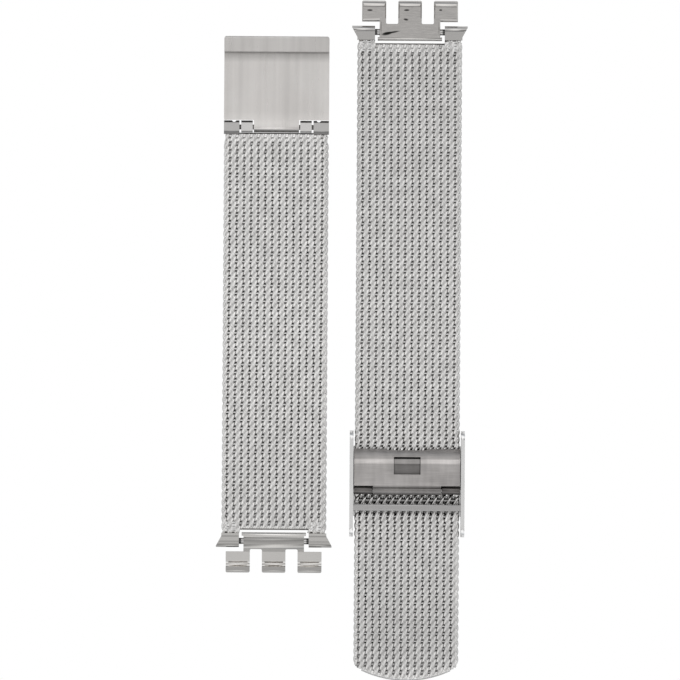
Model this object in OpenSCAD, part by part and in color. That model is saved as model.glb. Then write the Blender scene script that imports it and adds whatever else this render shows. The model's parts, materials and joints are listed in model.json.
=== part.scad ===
// Woven steel mesh watch band: a short strap with a hook plate and a long strap with a slider clasp.
// Each strap is drawn in its own frame: Y runs to the watch, Z=0 is the outer face and -Z is the wrist side.

/* [Mesh] */
// Width of both woven straps
mesh_w = 17; // [15:0.5:20]
// Thickness of the weave
mesh_t = 1.6; // [1.5:0.1:1.9]
// Distance between wire coils along the short strap
short_pitch = 1.28; // [1.15:0.01:1.4]
// Distance between wire coils along the long strap
long_pitch = 1.27; // [1.15:0.01:1.4]
// Wire coils woven into the short strap
short_rows = 50; // [40:1:60]
// Wire coils in the long strap between the end link and the slider's stretch
upper_rows = 40; // [32:1:48]
// Wire coils in the stretch that the slider runs on
slide_rows = 32; // [30:1:36]
// Wire coils between that stretch and the rounded tip
tip_rows = 9; // [8:1:14]
// Thickness of the wires that join one coil to the next
web_t = 0.9; // [0.7:0.1:1.2]
// Radius of the loops along both edges
loop_r = 0.6; // [0.5:0.05:0.7]
// How far the loops stand out past the full coils
loop_reach = 0.25; // [0.1:0.05:0.5]
// How far the weave's corners reach past its middle, up to the brazed shoulders
corner_tab = 0.5; // [0.3:0.05:0.7]
// Running clearance between two coils that hinge
flex_clear = 0.05; // [0.03:0.01:0.08]
// Radius of the arc that ends the long strap
tip_arc_r = 17; // [12:0.5:30]
// Radius of the tip's two corners
tip_corner_r = 1.2; // [0.6:0.1:2]

/* [End links] */
// Thickness of the prongs
link_t = 2.2; // [2:0.1:2.4]
// Thickness of the base that turns on the pin
base_t = 1.8; // [1.6:0.1:2]
// Distance from the weave to the prongs' tips
link_reach = 6.9; // [6.4:0.1:8]
// Distance from the weave to the back of the base
base_back = 0.4; // [0.3:0.05:0.6]
// Distance from the weave to the back of the prongs
prong_back = 3.5; // [3.4:0.1:3.8]
// Distance from the weave to the bottom of the slots
slot_bottom = 3.1; // [2.9:0.05:3.3]
// Gap between the base and each shoulder
base_gap = 0.45; // [0.2:0.05:0.6]
// Width of the middle prong
mid_prong_w = 3.8; // [3:0.2:4.4]
// Width of each slot
slot_w = 1.97; // [1.5:0.01:2.2]
// Radius in the slots' two corners
slot_round = 0.25; // [0.1:0.05:0.4]
// Radius of the prongs' corners, seen from above
prong_corner = 0.25; // [0.1:0.05:0.4]
// Depth of the flat faces below the rounded edges
face_step = 0.12; // [0.05:0.01:0.15]
// Length of the slope from a rounded edge down to the flat face
step_run = 0.1; // [0.05:0.01:0.2]
// Length of the round bead along the base's back edge
bead_l = 0.55; // [0.4:0.05:0.7]
// How far that bead stands out at both ends
bead_out = 0.3; // [0.1:0.05:0.4]
// Distance from the weave to the hollow in the base's wrist side
hollow_from = 1.2; // [1:0.05:1.4]
// Depth of that hollow
hollow_depth = 0.2; // [0.1:0.05:0.2]
// Radius where the hollow leaves the bead
hollow_round = 0.65; // [0.4:0.05:0.8]
// Radius where the hollow rises to the prongs
hollow_rise = 1.2; // [0.8:0.1:1.6]
// Distance from the weave's edge to the outer prongs' sides
prong_inset = 0.75; // [0.3:0.05:1.2]
// Radius of the channel that snaps onto the watch's pin
channel_r = 0.65; // [0.5:0.05:0.7]
// Width of the channel's mouth on the wrist side
mouth_w = 0.9; // [0.7:0.05:1]
// Wall between the channel and the prong's tip
lip_wall = 0.75; // [0.6:0.05:1]
// Wall between the channel and the outer face
face_wall = 0.6; // [0.5:0.05:0.8]
// Bevel along the prongs' edges
bevel = 0.3; // [0.1:0.02:0.36]
// Radius of the outer prongs' back edge
back_round = 0.5; // [0.2:0.05:0.6]
// Radius along both sides of the base
base_round = 0.3; // [0.1:0.05:0.4]
// Radius of the prongs' tips at the outer face
prong_round = 0.95; // [0.4:0.05:1]
// Radius of the prongs' tips at the wrist side
prong_round_in = 0.4; // [0.2:0.05:0.6]
// Radius of the pin that the end link turns on
link_pin_r = 0.5; // [0.4:0.05:0.55]
// Distance from the weave to that pin's axis
link_pin_y = 1.8; // [1.7:0.05:2]

/* [Shoulders] */
// Width of each shoulder beside an end link
shoulder_w = 2.85; // [2.2:0.05:2.85]
// Reach of the shoulders past the weave
shoulder_reach = 2.8; // [2.6:0.05:3]
// Distance from the weave to where a shoulder begins to flare
flare_from = 1; // [0.7:0.05:1.6]
// How far the flared lip stands out past the weave's edge
lip_flare = 0.85; // [0.5:0.05:1.2]
// Thickness of the flared lip's edge
lip_t = 0.25; // [0.1:0.05:0.4]
// Radius of a shoulder's end at the outer face
shoulder_bead = 0.8; // [0.5:0.05:0.9]
// Radius of a shoulder's end at the wrist side
shoulder_round = 0.4; // [0.1:0.05:0.5]
// How far a hinge shoulder wraps back round the last coil
shoulder_wrap = 0.25; // [0.2:0.05:0.4]
// Gap at a seat that is brazed or riveted
seat_clear = 0.01; // [0.01:0.005:0.02]
// Radial running clearance round a pin
pin_clear = 0.05; // [0.02:0.01:0.08]

/* [Hook plate] */
// Distance from the weave to the plate's tip
plate_reach = 15.56; // [13:0.02:20]
// Distance from the plate's hinge to its near edge
plate_start = 1.15; // [1.1:0.01:1.3]
// Thickness of the plate
plate_t = 0.6; // [0.5:0.05:0.7]
// Length of the folded lip that catches the bar
hook_lip = 2.55; // [2.3:0.05:3.2]
// Outer radius of the fold
fold_r = 0.25; // [0.15:0.05:0.55]
// Radius of the plate's tip corners
plate_corner = 0.4; // [0.2:0.1:2]
// Radius of the roll at the tongue's end, and half the height of the other knuckles
knuckle_r = 0.85; // [0.8:0.01:0.9]
// Radius at those knuckles' edges next to the weave
knuckle_round = 0.2; // [0.1:0.05:0.4]
// Gap between those knuckles and the plate's near edge
plate_gap = 0.1; // [0.06:0.01:0.2]
// Clearance between those knuckles and the plate as it turns
swing_clear = 0.06; // [0.04:0.01:0.1]
// Width of the tongue rolled round the hinge pin
tongue_w = 7.3; // [6:0.1:7.6]
// Gap between the tongue and each spacer sleeve
knuckle_gap = 0.2; // [0.1:0.05:0.3]
// Gap between each spacer sleeve and its hinge shoulder
sleeve_gap = 0.3; // [0.1:0.05:0.6]
// Width of each hinge shoulder
hinge_shoulder_w = 2.5; // [2:0.1:2.7]
// Radius of the hinge pin
hinge_pin_r = 0.4; // [0.3:0.05:0.45]
// Gap between the last coil and the knuckles
hinge_gap = 0.05; // [0.05:0.01:0.2]
// Radius of the notch in each hinge shoulder's edge next to the plate
notch_r = 0.35; // [0.2:0.05:0.45]
// Distance between the two notches
notch_apart = 13.7; // [13:0.1:14.5]

/* [Slider clasp] */
// Distance from the end link's end of the weave to the slider's middle
slider_at = 71.3; // [70:0.1:72]
// Length of the cheeks
cheek_l = 17.15; // [16.5:0.05:18]
// Thickness of the cheeks
cheek_t = 0.6; // [0.4:0.05:0.8]
// Gap between the weave's edge and a cheek
side_clear = 0.2; // [0.15:0.05:0.3]
// Radius at the top of the cheeks' ends
cheek_round = 1.4; // [0.8:0.1:1.8]
// Thickness of the floor under the weave
floor_t = 0.5; // [0.4:0.05:0.6]
// Gap between the floor and the weave
floor_clear = 0.1; // [0.1:0.05:0.2]
// Reach of the floor past the middle, to the end link
floor_front = 6.1; // [5:0.1:7]
// Reach of the floor past the middle, to the tip
floor_back = 5.3; // [5:0.1:6.5]
// Width of the hook bar along the strap
bar_w = 1.07; // [0.9:0.01:1.2]
// Thickness of the hook bar
bar_t = 0.75; // [0.6:0.05:0.9]
// Distance from the slider's middle to the hook bar
bar_back = 3.83; // [3.7:0.01:4.2]
// Play of the plate's hook round the bar
hook_play = 0.075; // [0.05:0.005:0.12]

/* [Lock lid] */
// Distance from the slider's middle to the lid's pivot
lid_back = 1.05; // [0.8:0.05:1.1]
// Distance from the pivot to the lid's free edge
lid_reach = 6.85; // [6.3:0.05:7.1]
// Thickness of the lid's sheet
lid_t = 0.6; // [0.45:0.05:0.65]
// Radius of the roll that turns on the pivot pin
roll_r = 0.75; // [0.7:0.05:0.8]
// Width of that roll
roll_w = 11; // [9:0.2:13]
// Rise of the sheet over the roll's top
sheet_rise = 0.12; // [0.05:0.01:0.2]
// Distance from the pivot to where the sheet rises
sheet_from = 0.5; // [0.4:0.02:0.6]
// Distance from the pivot to the sheet on both sides of the roll
lid_side_from = 0.73; // [0.7:0.01:1.2]
// Gap between the closed lid and the weave
lid_clear = 0.1; // [0.1:0.05:0.2]
// Gap between the lid's side and a cheek
lid_side_clear = 0.12; // [0.08:0.02:0.2]
// Radius of the lid's curved nose
nose_r = 2.2; // [1.8:0.05:2.3]
// Steepness of the line from the nose's middle to where its arc begins
nose_lean = 80; // [76:1:84]
// Width of the shallow notch in the nose
thumb_w = 6.3; // [4:0.1:9]
// Depth of that notch
thumb_depth = 0.35; // [0.2:0.05:0.5]
// Width of the pry pocket
pocket_w = 4.3; // [3:0.1:6]
// Length of the pry pocket
pocket_l = 2.8; // [2:0.1:3.2]
// Distance from the pivot to the pry pocket
pocket_from = 2.6; // [2.3:0.1:2.8]
// Length of the raised step in the pry pocket
pocket_step = 0.85; // [0.5:0.05:1.2]
// Length of the slit past that step
pocket_slit = 0.3; // [0.2:0.05:0.4]
// Thickness of the pry pocket's floor
pocket_floor = 0.25; // [0.2:0.05:0.3]
// Radius of the pivot pin
lid_pin_r = 0.4; // [0.3:0.05:0.45]
// Radius of the two sleeves beside the roll
lid_sleeve_r = 0.65; // [0.6:0.05:0.7]

/* [Layout] */
// Distance between the middles of the two straps
strap_apart = 21.5; // [20:0.5:40]
// How far the hook plate's tip lies below the other strap's prongs
short_inset = 5.95; // [0:0.05:20]

/* [Hidden] */
$fn = 64;
mesh_r = mesh_t / 2;
short_blocks = 10;
upper_blocks = 8;
long_rows = upper_rows + slide_rows + tip_rows;
short_len = 2 * mesh_r + (short_rows - 1) * short_pitch;
long_len = 2 * mesh_r + (long_rows - 1) * long_pitch;
tip_split = upper_rows + slide_rows + floor(tip_rows / 2);
long_y = (long_len - link_reach) / 2;
long_z = max(link_t, mesh_t + floor_clear + floor_t);
short_y = (long_len + link_reach) / 2 - short_inset - plate_reach - short_len;
channel_y = link_reach - lip_wall - channel_r;
channel_z = -face_wall - channel_r;
link_pin_z = -base_t / 2;
shoulder_in = mesh_w / 2 - shoulder_w;
base_w = 2 * (shoulder_in - base_gap);
prongs_w = mesh_w - 2 * prong_inset;
hinge_y = -short_len - hinge_gap - knuckle_r;
hinge_z = -knuckle_r;
hinge_len = plate_reach - hinge_gap - knuckle_r;
swing_r = sqrt(pow(plate_start, 2) + pow(knuckle_r - plate_t, 2)) - swing_clear;
plate_z = -2 * knuckle_r;
hook_gap = bar_t + 2 * hook_play;
hook_z = plate_z - hook_gap - plate_t;
sleeve_in = tongue_w / 2 + knuckle_gap;
sleeve_w = mesh_w / 2 - hinge_shoulder_w - sleeve_gap - sleeve_in;
cheek_in = mesh_w / 2 + side_clear;
cheek_out = cheek_in + cheek_t;
floor_z = -mesh_t - floor_clear - floor_t;
bar_z = plate_t + 2 * hook_play;
cheek_top = bar_z + bar_t + plate_t;
lid_z = lid_clear + roll_r;
lid_half = cheek_in - lid_side_clear;
steel = [0.74, 0.73, 0.72];
bright = [0.83, 0.82, 0.81];
brushed = [0.66, 0.64, 0.62];
eps = 0.01;
over = 1;

// Side outlines are drawn in Y and Z and pulled across the strap
module across(w)
    rotate([90, 0, 90]) linear_extrude(w, center = true) children();

// End outlines are drawn in X and Z and pulled along the strap, from y0 to y1
module along(y0, y1)
    translate([0, y1, 0]) rotate([90, 0, 0]) linear_extrude(y1 - y0) children();

// Mirrored pair, left and right of the strap's middle
module both_sides() {
    children();
    mirror([1, 0, 0]) children();
}

module box(x0, x1, y0, y1, z0, z1)
    translate([x0, y0, z0]) cube([x1 - x0, y1 - y0, z1 - z0]);

module rod(r, w)
    rotate([0, 90, 0]) cylinder(h = w, r = r, center = true);

// Rectangle from (x0, y0) to (x1, y1) with one radius at each corner, which starts at (x0, y0)
module rounded(x0, y0, x1, y1, r00, r10, r11, r01)
    difference() {
        translate([x0, y0]) square([x1 - x0, y1 - y0]);
        corner_cut(x0, y0, r00, 0, 0);
        corner_cut(x1, y0, r10, 1, 0);
        corner_cut(x1, y1, r11, 1, 1);
        corner_cut(x0, y1, r01, 0, 1);
    }

module corner_cut(x, y, r, flip_x, flip_y)
    if (r > 0)
        translate([x, y]) mirror([flip_x, 0]) mirror([0, flip_y])
            difference() {
                translate([-eps, -eps]) square(r + eps);
                translate([r, r]) circle(r);
            }

module on_long()
    translate([strap_apart / 2, long_y, long_z]) children();

// The short strap lies wrist side up and points the other way
module on_short()
    translate([-strap_apart / 2, short_y, 0]) rotate([180, 0, 0]) children();

// Weave: each coil is a rounded row, and a block's first row is hollowed round its neighbour's last row
function row_y(k, pitch) = -mesh_r - k * pitch;

function first_row(i, blocks, rows) = round(i * rows / blocks);

module row_circles(pitch, first, last, r) {
    difference() {
        for (k = [first:last])
            translate([row_y(k, pitch), -mesh_r]) circle(r);
        if (first > 0)
            translate([row_y(first - 1, pitch), -mesh_r]) circle(mesh_r + flex_clear);
    }
}

module mesh_rows(pitch, first, last) {
    across(mesh_w - 2 * loop_reach) {
        row_circles(pitch, first, last, mesh_r);
        translate([row_y(last, pitch), -mesh_r - web_t / 2])
            square([(last - first) * pitch, web_t]);
    }
    across(mesh_w) row_circles(pitch, first, last, loop_r);
    if (first == 0)
        both_sides() box(shoulder_in, mesh_w / 2, -mesh_r, corner_tab, -mesh_t, 0);
}

module short_block(i)
    color(steel) on_short()
        mesh_rows(short_pitch, first_row(i, short_blocks, short_rows),
            first_row(i + 1, short_blocks, short_rows) - 1);

module long_block(first, last)
    color(steel) on_long() mesh_rows(long_pitch, first, last);

module upper_block(i)
    long_block(first_row(i, upper_blocks, upper_rows), first_row(i + 1, upper_blocks, upper_rows) - 1);

// Plan of the tip: a shallow arc with two rounded corners, whose circles touch the arc and the sides
module tip_outline() {
    side = mesh_w / 2;
    corner_x = side - tip_corner_r;
    corner_y = sqrt(pow(tip_arc_r - tip_corner_r, 2) - pow(corner_x, 2));
    reach = tip_arc_r / (tip_arc_r - tip_corner_r) * 2;
    translate([0, -long_len + tip_arc_r]) mirror([0, 1]) {
        intersection() {
            circle(tip_arc_r);
            polygon([[0, 0], [-corner_x * reach, corner_y * reach], [corner_x * reach, corner_y * reach]]);
        }
        translate([-side, -tip_arc_r]) square([mesh_w, tip_arc_r + corner_y]);
        for (s = [-1, 1])
            translate([s * corner_x, corner_y]) circle(tip_corner_r);
    }
}

module long_mesh_tip()
    color(steel) on_long() intersection() {
        mesh_rows(long_pitch, tip_split, long_rows - 1);
        translate([0, 0, -mesh_t - over]) linear_extrude(mesh_t + 2 * over) tip_outline();
    }

// Side outline of the cut that leaves a flat face from y0 to the slope that ends at y1
module face_cut(y0, y1)
    polygon([[y0, over], [y0, -face_step], [y1 - step_run, -face_step], [y1, 0], [y1, over]]);

// Shoulder brazed to a corner of the weave, with a flared lip, which carries one end of the link's pin
module link_shoulder() {
    side = mesh_w / 2;
    back = corner_tab + seat_clear;
    difference() {
        intersection() {
            translate([0, 0, -base_t - over]) linear_extrude(base_t + 2 * over)
                polygon([
                    [shoulder_in, back], [side, back], [side, flare_from],
                    [side + lip_flare, shoulder_reach - lip_t],
                    [side + lip_flare, shoulder_reach], [shoulder_in, shoulder_reach]
                ]);
            across(mesh_w + 4 * lip_flare)
                rounded(back, -base_t, shoulder_reach, 0, 0, shoulder_round, shoulder_bead, 0);
        }
        translate([mesh_w / 2, 0, 0]) across(mesh_w) face_cut(0, shoulder_reach - shoulder_bead);
        translate([0, link_pin_y, link_pin_z]) rod(link_pin_r + seat_clear, mesh_w + 2 * over);
    }
}

module link_pin()
    translate([0, link_pin_y, link_pin_z]) rod(link_pin_r, mesh_w - 2 * shoulder_round);

// Side outline of a prong: rounded tip, flat face a step lower, and a channel that opens to the wrist
module prong_profile() {
    difference() {
        rounded(prong_back, -link_t, link_reach, 0, 0, prong_round_in, prong_round, 0);
        face_cut(prong_back - eps, link_reach - prong_round);
        translate([channel_y, channel_z]) circle(channel_r);
        translate([channel_y - mouth_w / 2, -link_t - over])
            square([mouth_w, link_t + over + channel_z]);
    }
}

module prong(x0, x1)
    intersection() {
        translate([(x0 + x1) / 2, 0, 0]) across(x1 - x0) prong_profile();
        along(prong_back, link_reach)
            polygon([
                [x0, -link_t], [x1, -link_t], [x1, -bevel], [x1 - bevel, 0],
                [x0 + bevel, 0], [x0, -bevel]
            ]);
        translate([0, 0, -link_t - over]) linear_extrude(link_t + 2 * over)
            rounded(x0, prong_back, x1, link_reach, 0, 0, prong_corner, prong_corner);
    }

// Side outline of the hollow in the base's wrist side
module hollow_profile() {
    lead = hollow_round - sqrt(pow(hollow_round, 2) - pow(hollow_round - hollow_depth, 2));
    rounded(hollow_from - lead, -base_t - 2 * over, prong_back, -base_t + hollow_depth,
        0, 0, hollow_rise, hollow_round);
}

// Three prongs that clip onto the watch, on a base that turns on a pin
module end_link() {
    mid = mid_prong_w / 2;
    outer = mid + slot_w;
    back_r = base_t / 4;
    plate_half = base_w / 2 - bead_out;
    prong(-mid, mid);
    both_sides() difference() {
        prong(outer, prongs_w / 2);
        translate([plate_half + mesh_w / 2, 0, 0]) across(mesh_w)
            corner_cut(prong_back, -face_step, back_round, 0, 1);
    }
    difference() {
        union() {
            across(base_w)
                rounded(base_back, -base_t, base_back + bead_l, 0, back_r, 0, 0, back_r);
            across(2 * plate_half)
                translate([base_back + back_r, -base_t])
                    square([prong_back + over / 2 - base_back - back_r, base_t - face_step]);
        }
        both_sides()
            translate([0, 0, -base_t - over]) linear_extrude(base_t + 2 * over)
                rounded(mid, slot_bottom, outer, prong_back + over, slot_round, slot_round, 0, 0);
        both_sides() along(base_back + bead_l, prong_back)
            corner_cut(plate_half, -face_step, base_round, 1, 1);
        across(base_w + over) hollow_profile();
        translate([0, link_pin_y, link_pin_z]) rod(link_pin_r + pin_clear, base_w + 2 * over);
    }
}

// Side outline of a knuckle that is pressed flat, and round about the pin where the plate swings past
module knuckle_profile() {
    reach = plate_start - plate_gap;
    intersection() {
        rounded(hinge_y - reach, hinge_z - knuckle_r, hinge_y + knuckle_r, hinge_z + knuckle_r,
            0, knuckle_round, knuckle_round, 0);
        union() {
            translate([hinge_y, hinge_z]) circle(swing_r);
            translate([hinge_y, hinge_z - 2 * knuckle_r]) square([2 * knuckle_r, 4 * knuckle_r]);
        }
    }
}

// Hinge between the weave and the hook plate
module hinge_shoulder() {
    difference() {
        translate([mesh_w / 2 - hinge_shoulder_w / 2, 0, 0]) across(hinge_shoulder_w) {
            knuckle_profile();
            translate([hinge_y, -mesh_t])
                square([-short_len + shoulder_wrap - hinge_y, mesh_t]);
        }
        translate([0, row_y(short_rows - 1, short_pitch), -mesh_r])
            rod(mesh_r + seat_clear, mesh_w + 2 * over);
        translate([0, hinge_y, hinge_z]) rod(hinge_pin_r + seat_clear, mesh_w + 2 * over);
        translate([notch_apart / 2, hinge_y - plate_start, -2 * knuckle_r - over])
            cylinder(h = 2 * (knuckle_r + over), r = notch_r);
    }
}

module hinge_sleeve()
    translate([sleeve_in + sleeve_w / 2, 0, 0])
        difference() {
            across(sleeve_w) knuckle_profile();
            translate([0, hinge_y, hinge_z]) rod(hinge_pin_r + seat_clear, sleeve_w + over);
        }

module hinge_pin()
    translate([0, hinge_y, hinge_z]) rod(hinge_pin_r, mesh_w);

// Plate level with the knuckles' wrist side, whose tip is folded over into a hook
module plate_profile()
    difference() {
        rounded(plate_start, hook_z, hinge_len, plate_z + plate_t, 0, fold_r, fold_r, 0);
        translate([plate_start - over, plate_z - hook_gap])
            square([hinge_len - plate_t - plate_start + over, hook_gap]);
        translate([plate_start - over, hook_z - over])
            square([hinge_len - hook_lip - plate_start + over, plate_t + 2 * over]);
    }

module tongue_profile()
    difference() {
        union() {
            translate([0, hinge_z]) circle(knuckle_r);
            translate([0, plate_z]) square([plate_start + eps, plate_t]);
        }
        translate([0, hinge_z]) circle(hinge_pin_r + pin_clear);
    }

module hook_plate() {
    side = mesh_w / 2;
    translate([0, hinge_y, 0]) mirror([0, 1, 0]) {
        across(tongue_w) tongue_profile();
        intersection() {
            across(mesh_w) plate_profile();
            translate([0, 0, hook_z - over]) linear_extrude(2 * over - hook_z)
                rounded(-side, 0, side, hinge_len, 0, 0, plate_corner, plate_corner);
        }
    }
}

// Slider: a folded channel round the weave, whose cheeks hold the hook bar and the lid's pin
module slider_frame() {
    half = cheek_l / 2;
    difference() {
        intersection() {
            along(-half, half)
                rounded(-cheek_out, floor_z, cheek_out, cheek_top, cheek_t, cheek_t, 0, 0);
            across(2 * cheek_out)
                rounded(-half, floor_z, half, cheek_top, cheek_t, cheek_t, cheek_round, cheek_round);
        }
        box(-cheek_in, cheek_in, -half - over, half + over, floor_z + floor_t, cheek_top + over);
        box(-cheek_in, cheek_in, floor_front, half + over, floor_z - over, cheek_top);
        box(-cheek_in, cheek_in, -half - over, -floor_back, floor_z - over, cheek_top);
        translate([0, -lid_back, lid_z]) rod(lid_pin_r + seat_clear, 2 * cheek_out + over);
        across(2 * cheek_out + over) bar_profile(seat_clear);
    }
}

module bar_profile(grow)
    rounded(-bar_back - bar_w / 2 - grow, bar_z - grow, -bar_back + bar_w / 2 + grow,
        bar_z + bar_t + grow, bar_t / 4, bar_t / 4, bar_t / 4, bar_t / 4);

module lid_pin()
    translate([0, -lid_back, lid_z]) rod(lid_pin_r, 2 * cheek_out);

module lid_sleeve() {
    inner = roll_w / 2 + lid_side_clear;
    translate([(inner + lid_half) / 2, -lid_back, lid_z])
        difference() {
            rod(lid_sleeve_r, lid_half - inner);
            rod(lid_pin_r + seat_clear, mesh_w);
        }
}

// Side outline of the lid's sheet: a crown from the roll's top to the nose, and the nose's arc
module lid_sheet() {
    nose_y = lid_reach - nose_r;
    nose_z = roll_r - nose_r + lid_t / 4;
    normal = [cos(nose_lean), sin(nose_lean)];
    nose_top = [nose_y, nose_z] + nose_r * normal;
    chord = [0, roll_r + sheet_rise] - nose_top;
    crown_r = -(chord * chord) / (2 * chord * normal);
    crown = nose_top - crown_r * normal;
    intersection() {
        translate(crown) difference() {
            circle(crown_r);
            circle(crown_r - lid_t);
        }
        polygon([
            [sheet_from, -roll_r], crown, [nose_y, nose_z], nose_top + normal, [sheet_from, 3 * roll_r]
        ]);
    }
    intersection() {
        translate([nose_y, nose_z]) difference() {
            circle(nose_r);
            circle(nose_r - lid_t);
        }
        polygon([
            [nose_y, nose_z], nose_top + normal, [lid_reach + over, roll_r + over],
            [lid_reach + over, 2 * lid_clear - lid_z], [nose_y, 2 * lid_clear - lid_z]
        ]);
    }
}

module lock_lid() {
    translate([0, -lid_back, lid_z]) difference() {
        union() {
            across(roll_w) circle(roll_r);
            across(2 * lid_half) lid_sheet();
            pocket_shell();
        }
        rod(lid_pin_r + pin_clear, roll_w + over);
        both_sides()
            box(roll_w / 2, mesh_w, -2 * roll_r, lid_side_from, -2 * roll_r, 2 * roll_r);
        box(-thumb_w / 2, thumb_w / 2, lid_reach - thumb_depth, lid_reach + over, -roll_r, roll_r);
        pocket_hole();
    }
}

// Pocket that a screwdriver's tip pries the lid up by: a stepped floor under a window in the sheet
module pocket_shell()
    box(-pocket_w / 2 - pocket_floor, pocket_w / 2 + pocket_floor,
        pocket_from - pocket_floor, pocket_from + pocket_l + pocket_floor,
        roll_r - lid_t - pocket_floor, roll_r);

module pocket_hole() {
    pocket_to = pocket_from + pocket_l;
    side = pocket_w / 2;
    box(-side, side, pocket_from, pocket_to - pocket_slit - pocket_step,
        roll_r - lid_t, 3 * roll_r);
    box(-side, side, pocket_to - pocket_slit, pocket_to, roll_r - lid_t, 3 * roll_r);
    box(-side, side, pocket_from, pocket_to, roll_r - lid_t / 4, 3 * roll_r);
}

module hook_bar()
    across(2 * cheek_out) bar_profile(0);

module on_slider()
    on_long() translate([0, -slider_at, 0]) children();

short_block(0);  // short_mesh_1
short_block(1);  // short_mesh_2
short_block(2);  // short_mesh_3
short_block(3);  // short_mesh_4
short_block(4);  // short_mesh_5
short_block(5);  // short_mesh_6
short_block(6);  // short_mesh_7
short_block(7);  // short_mesh_8
short_block(8);  // short_mesh_9
short_block(9);  // short_mesh_10
color(bright) on_short() mirror([1, 0, 0]) link_shoulder();  // short_link_shoulder_left
color(bright) on_short() link_shoulder();  // short_link_shoulder_right
color(steel) on_short() link_pin();  // short_link_pin
color(bright) on_short() end_link();  // short_end_link
color(bright) on_short() mirror([1, 0, 0]) hinge_shoulder();  // hinge_shoulder_left
color(bright) on_short() hinge_shoulder();  // hinge_shoulder_right
color(bright) on_short() mirror([1, 0, 0]) hinge_sleeve();  // hinge_sleeve_left
color(bright) on_short() hinge_sleeve();  // hinge_sleeve_right
color(steel) on_short() hinge_pin();
color(brushed) on_short() hook_plate();
upper_block(0);  // long_mesh_1
upper_block(1);  // long_mesh_2
upper_block(2);  // long_mesh_3
upper_block(3);  // long_mesh_4
upper_block(4);  // long_mesh_5
upper_block(5);  // long_mesh_6
upper_block(6);  // long_mesh_7
upper_block(7);  // long_mesh_8
long_block(upper_rows, upper_rows + slide_rows - 1);  // long_mesh_slide
long_block(upper_rows + slide_rows, tip_split - 1);  // long_mesh_9
long_mesh_tip();
color(bright) on_long() mirror([1, 0, 0]) link_shoulder();  // long_link_shoulder_left
color(bright) on_long() link_shoulder();  // long_link_shoulder_right
color(steel) on_long() link_pin();  // long_link_pin
color(bright) on_long() end_link();  // long_end_link
color(bright) on_slider() slider_frame();
color(brushed) on_slider() hook_bar();
color(brushed) on_slider() lock_lid();
color(steel) on_slider() lid_pin();
color(steel) on_slider() mirror([1, 0, 0]) lid_sleeve();  // lid_sleeve_left
color(steel) on_slider() lid_sleeve();  // lid_sleeve_right
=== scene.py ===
"""Looks of a woven steel mesh watch band: wire coils, polished and brushed fittings, studio light."""

import json
import math
from collections import namedtuple

import bpy
import numpy as np
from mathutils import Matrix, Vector

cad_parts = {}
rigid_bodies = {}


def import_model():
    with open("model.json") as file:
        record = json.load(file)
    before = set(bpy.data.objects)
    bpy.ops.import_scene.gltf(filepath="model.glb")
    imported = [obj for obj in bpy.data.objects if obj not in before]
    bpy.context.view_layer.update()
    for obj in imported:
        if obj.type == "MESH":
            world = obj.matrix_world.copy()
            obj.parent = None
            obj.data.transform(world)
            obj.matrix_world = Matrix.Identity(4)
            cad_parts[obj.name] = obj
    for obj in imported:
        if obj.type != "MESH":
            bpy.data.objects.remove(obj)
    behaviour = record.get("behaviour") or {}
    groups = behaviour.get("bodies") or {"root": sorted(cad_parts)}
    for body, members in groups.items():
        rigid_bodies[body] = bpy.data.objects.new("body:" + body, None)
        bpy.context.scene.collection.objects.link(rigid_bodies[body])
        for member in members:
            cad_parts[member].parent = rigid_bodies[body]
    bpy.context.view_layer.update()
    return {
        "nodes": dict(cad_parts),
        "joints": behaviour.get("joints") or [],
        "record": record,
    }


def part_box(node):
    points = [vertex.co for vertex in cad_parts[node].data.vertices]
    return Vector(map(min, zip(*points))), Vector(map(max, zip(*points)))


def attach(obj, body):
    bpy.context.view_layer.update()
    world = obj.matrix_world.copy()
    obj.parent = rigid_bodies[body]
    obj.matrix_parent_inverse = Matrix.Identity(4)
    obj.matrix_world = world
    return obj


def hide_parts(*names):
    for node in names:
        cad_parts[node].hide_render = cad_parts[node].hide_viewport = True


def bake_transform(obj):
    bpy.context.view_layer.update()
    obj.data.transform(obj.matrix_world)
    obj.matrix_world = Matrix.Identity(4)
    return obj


for leftover in list(bpy.data.objects):
    bpy.data.objects.remove(leftover, do_unlink=True)

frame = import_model()

# Metres in a millimetre: sizes and places below are in millimetres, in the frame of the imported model
MM = 0.001

# Sizes of the weave

# Radius of the wire
WIRE_R = 0.247
# One turn of a coil: its length along the strap and its thickness
TURN_LENGTH = 3.2
TURN_THICK = 1.05
# Power of a turn's outline: 2 is an ellipse, and less is more pointed
TURN_POWER = 1.72
# Share of a turn's way across the strap that its front run takes
FRONT_SHARE = 0.81
# Distance from turn to turn across the strap, and how far all turns are moved to the side
COLUMN = 1.15
COLUMN_SHIFT = -0.26
# Turns added to each coil, so that it still fills its row when it is shifted
SPARE_TURNS = 3
# Points in a turn, finer points that they are spaced on, and sides of the wire
TURN_STEPS = 24
FINE_STEPS = 2000
WIRE_SIDES = 10
# Distance from row to row on each strap, and how far its first row is moved up
SHORT_PITCH = 1.28
LONG_PITCH = 1.27
SHORT_PHASE = 0.105
LONG_PHASE = 0.035
# How far the rows of each strap lie off their even places: place, shift across, shift along
SHORT_DRIFT = (
    (-25, -0.2, -0.12), (-14, -0.18, -0.08), (-8, -0.12, -0.05), (-2, -0.07, -0.02), (11, -0.03, 0.0),
    (24, 0.0, -0.09), (31, -0.02, -0.12),
)
LONG_DRIFT = (
    (-50, -0.25, -0.22), (-44, -0.27, -0.42), (-32, -0.26, -0.42), (-20, -0.05, -0.2), (-6, 0.02, -0.06),
    (18, 0.03, -0.05), (26, -0.01, -0.09), (32, -0.03, -0.15), (39, -0.1, -0.33), (46, -0.17, -0.42),
)
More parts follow.
